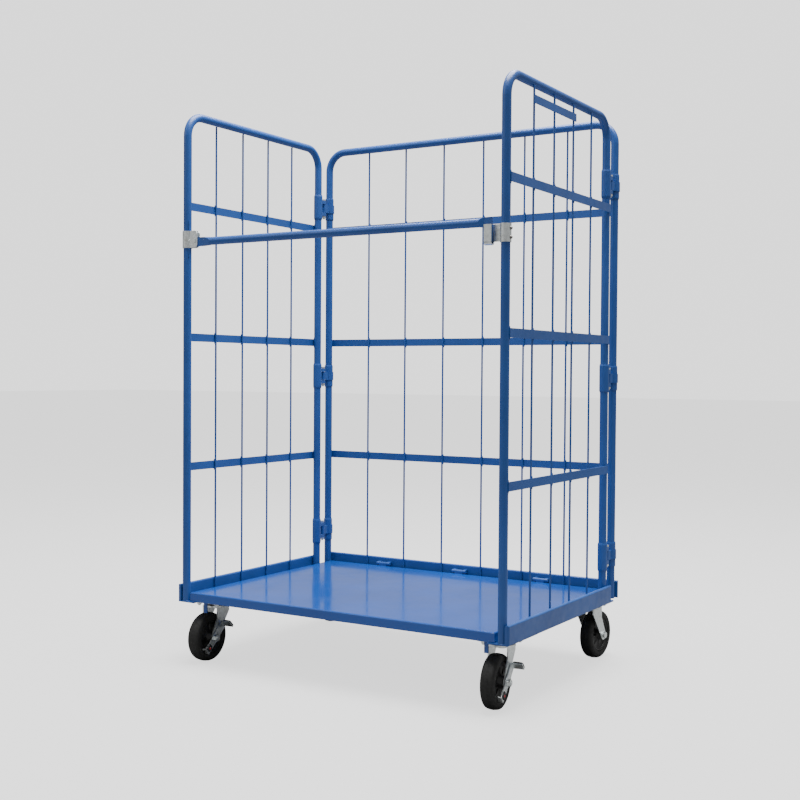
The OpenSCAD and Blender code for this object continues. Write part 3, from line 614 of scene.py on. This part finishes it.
class ROLLCAGE_OT_pedals(CageOperator, bpy.types.Operator):
    """Put a ribbed rubber on each brake pedal, and a grip with its coloured spot at the lever's other end"""
    bl_idname = "rollcage.pedals"
    bl_label = "Brake Pedals"

    def execute(self, context):
        material, enamel = pedal_rubber(), spot_enamel()
        ribs = settings("rubber").ribs
        for key in BRAKED:
            wheel = Wheel(key)
            axes = lever_axes(wheel)
            body = key + "_brake"

            def at(out, up, over=0.0):
                aside = Vector(axes[2]) * over
                return list(wheel.centre + Vector(axes[0]) * out + Vector(axes[1]) * up + aside)

            lumps = [blob(at(PAD_OUT, PAD_UP), axes, PAD_RADII, 0.35, 14, 24)]
            for rib in range(ribs):
                over = (rib - (ribs - 1) / 2) * 2 * PAD_RADII[2] / (ribs + 1)
                lumps.append(blob(at(PAD_OUT, PAD_UP + 0.0018, over), axes, PAD_RIB_RADII, 0.6, 8, 16))
            name = key + "_pedal_rubber"
            pad = piece(name, shell(name, lumps), material, body)
            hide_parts(key + "_brake_pad")
            grip = [blob(at(GRIP_OUT, GRIP_UP), axes, GRIP_RADII, 0.4, 14, 24)]
            piece(key + "_lever_grip", shell(key + "_lever_grip", grip), material, body)
            spot = [blob(at(GRIP_OUT + 0.0021, GRIP_UP - 0.001), axes, SPOT_RADII, 0.8, 10, 20)]
            piece(key + "_lever_spot", shell(key + "_lever_spot", spot), enamel, body)
        return {"FINISHED"}


def area_light(name, place, target, size, power):
    """Square soft light at a place, aimed at a target."""
    data = bpy.data.lights.new(name, "AREA")
    data.shape = "RECTANGLE"
    data.size = data.size_y = size
    data.energy = power
    light = bpy.data.objects.new(name, data)
    bpy.context.scene.collection.objects.link(light)
    light.location = place
    light.rotation_mode = "QUATERNION"
    light.rotation_quaternion = (Vector(target) - Vector(place)).to_track_quat("-Z", "Y")
    return light


def seen_or_lit(tree, seen, lit):
    """Brightness that is one value where the ground is seen itself and another where it lights the cage."""
    rays = tree.nodes.new("ShaderNodeLightPath")
    choice = tree.nodes.new("ShaderNodeMapRange")
    choice.inputs["To Min"].default_value = lit
    choice.inputs["To Max"].default_value = seen
    tree.links.new(rays.outputs["Is Camera Ray"], choice.inputs["Value"])
    return choice.outputs["Result"]


class ROLLCAGE_OT_stage(CageOperator, bpy.types.Operator):
    """Set up the floor, the soft lights and the camera"""
    bl_idname = "rollcage.stage"
    bl_label = "Studio"

    def execute(self, context):
        stage = settings("stage")
        reach = 40.0
        mesh = bpy.data.meshes.new("studio_floor")
        corners = [(-reach, -reach, 0), (reach, -reach, 0), (reach, reach, 0), (-reach, reach, 0)]
        mesh.from_pydata(corners, [], [(0, 1, 2, 3)])
        floor = bpy.data.objects.new("studio_floor", mesh)
        context.scene.collection.objects.link(floor)
        finish = Finish("studio_floor", stage.floor, 0.9)
        finish.tint(finish.spread(finish.noise(0.8, 2), 0.4, 0.7), scaled(stage.floor, 0.99))
        finish.shader.inputs["Emission Color"].default_value = (1.0, 1.0, 1.0, 1)
        glow = seen_or_lit(finish.tree, stage.ground, 0.0)
        finish.tree.links.new(glow, finish.shader.inputs["Emission Strength"])
        mesh.materials.append(finish.material)

        world = bpy.data.worlds.get("studio_air") or bpy.data.worlds.new("studio_air")
        world.use_nodes = True
        air = world.node_tree.nodes["Background"]
        air.inputs["Color"].default_value = (1.0, 1.0, 1.0, 1)
        glow = seen_or_lit(world.node_tree, stage.paper, stage.air)
        world.node_tree.links.new(glow, air.inputs["Strength"])
        context.scene.world = world
        middle = (0, 0, 0.8)
        area_light("key_light", (-2.6, -3.4, 3.6), middle, 2.4, stage.key_power)
        area_light("top_light", (0.2, 0.4, 4.6), middle, 3.2, stage.top_power)

        data = bpy.data.cameras.new("studio_camera")
        data.sensor_width = 36.0
        data.lens = stage.lens
        camera = bpy.data.objects.new("studio_camera", data)
        context.scene.collection.objects.link(camera)
        level = Vector((math.cos(stage.yaw), math.sin(stage.yaw), 0))
        flat = math.cos(stage.pitch)
        ahead = Vector((-math.sin(stage.yaw) * flat, math.cos(stage.yaw) * flat, -math.sin(stage.pitch)))
        above = level.cross(ahead)
        across = level * math.cos(stage.roll) + above * math.sin(stage.roll)
        turned = Matrix((across, across.cross(ahead), -ahead)).transposed().to_4x4()
        camera.matrix_world = Matrix.Translation(stage.eye) @ turned
        context.scene.camera = camera
        return {"FINISHED"}


class ROLLCAGE_PT_panel(bpy.types.Panel):
    """Lists the cage's operators and sizes in the 3D view's sidebar"""
    bl_idname = "ROLLCAGE_PT_panel"
    bl_label = "Roll Cage"
    bl_space_type = "VIEW_3D"
    bl_region_type = "UI"
    bl_category = "Roll Cage"

    def draw(self, context):
        for operator in OPERATORS:
            self.layout.operator(operator.bl_idname)
        for name, group in SETTINGS.items():
            box = self.layout.box()
            box.label(text=name.capitalize())
            for prop in group.__annotations__:
                box.prop(settings(name), prop)


OPERATORS = (ROLLCAGE_OT_finishes, ROLLCAGE_OT_welds, ROLLCAGE_OT_tyres, ROLLCAGE_OT_hubs, ROLLCAGE_OT_pedals,
             ROLLCAGE_OT_stage)
CLASSES = (*SETTINGS.values(), *OPERATORS, ROLLCAGE_PT_panel)


def register():
    """Registers the classes and hangs the settings on the scene."""
    for cls in CLASSES:
        bpy.utils.register_class(cls)
    for name, group in SETTINGS.items():
        setattr(bpy.types.Scene, "roll_cage_" + name, PointerProperty(type=group))


def unregister():
    """Takes the settings and the classes away again."""
    for name in SETTINGS:
        delattr(bpy.types.Scene, "roll_cage_" + name)
    for cls in reversed(CLASSES):
        bpy.utils.unregister_class(cls)


def main():
    """Builds the whole scene."""
    register()
    bpy.ops.rollcage.finishes()
    bpy.ops.rollcage.welds()
    bpy.ops.rollcage.tyres()
    bpy.ops.rollcage.hubs()
    bpy.ops.rollcage.pedals()
    bpy.ops.rollcage.stage()


if __name__ == "__main__":
    main()
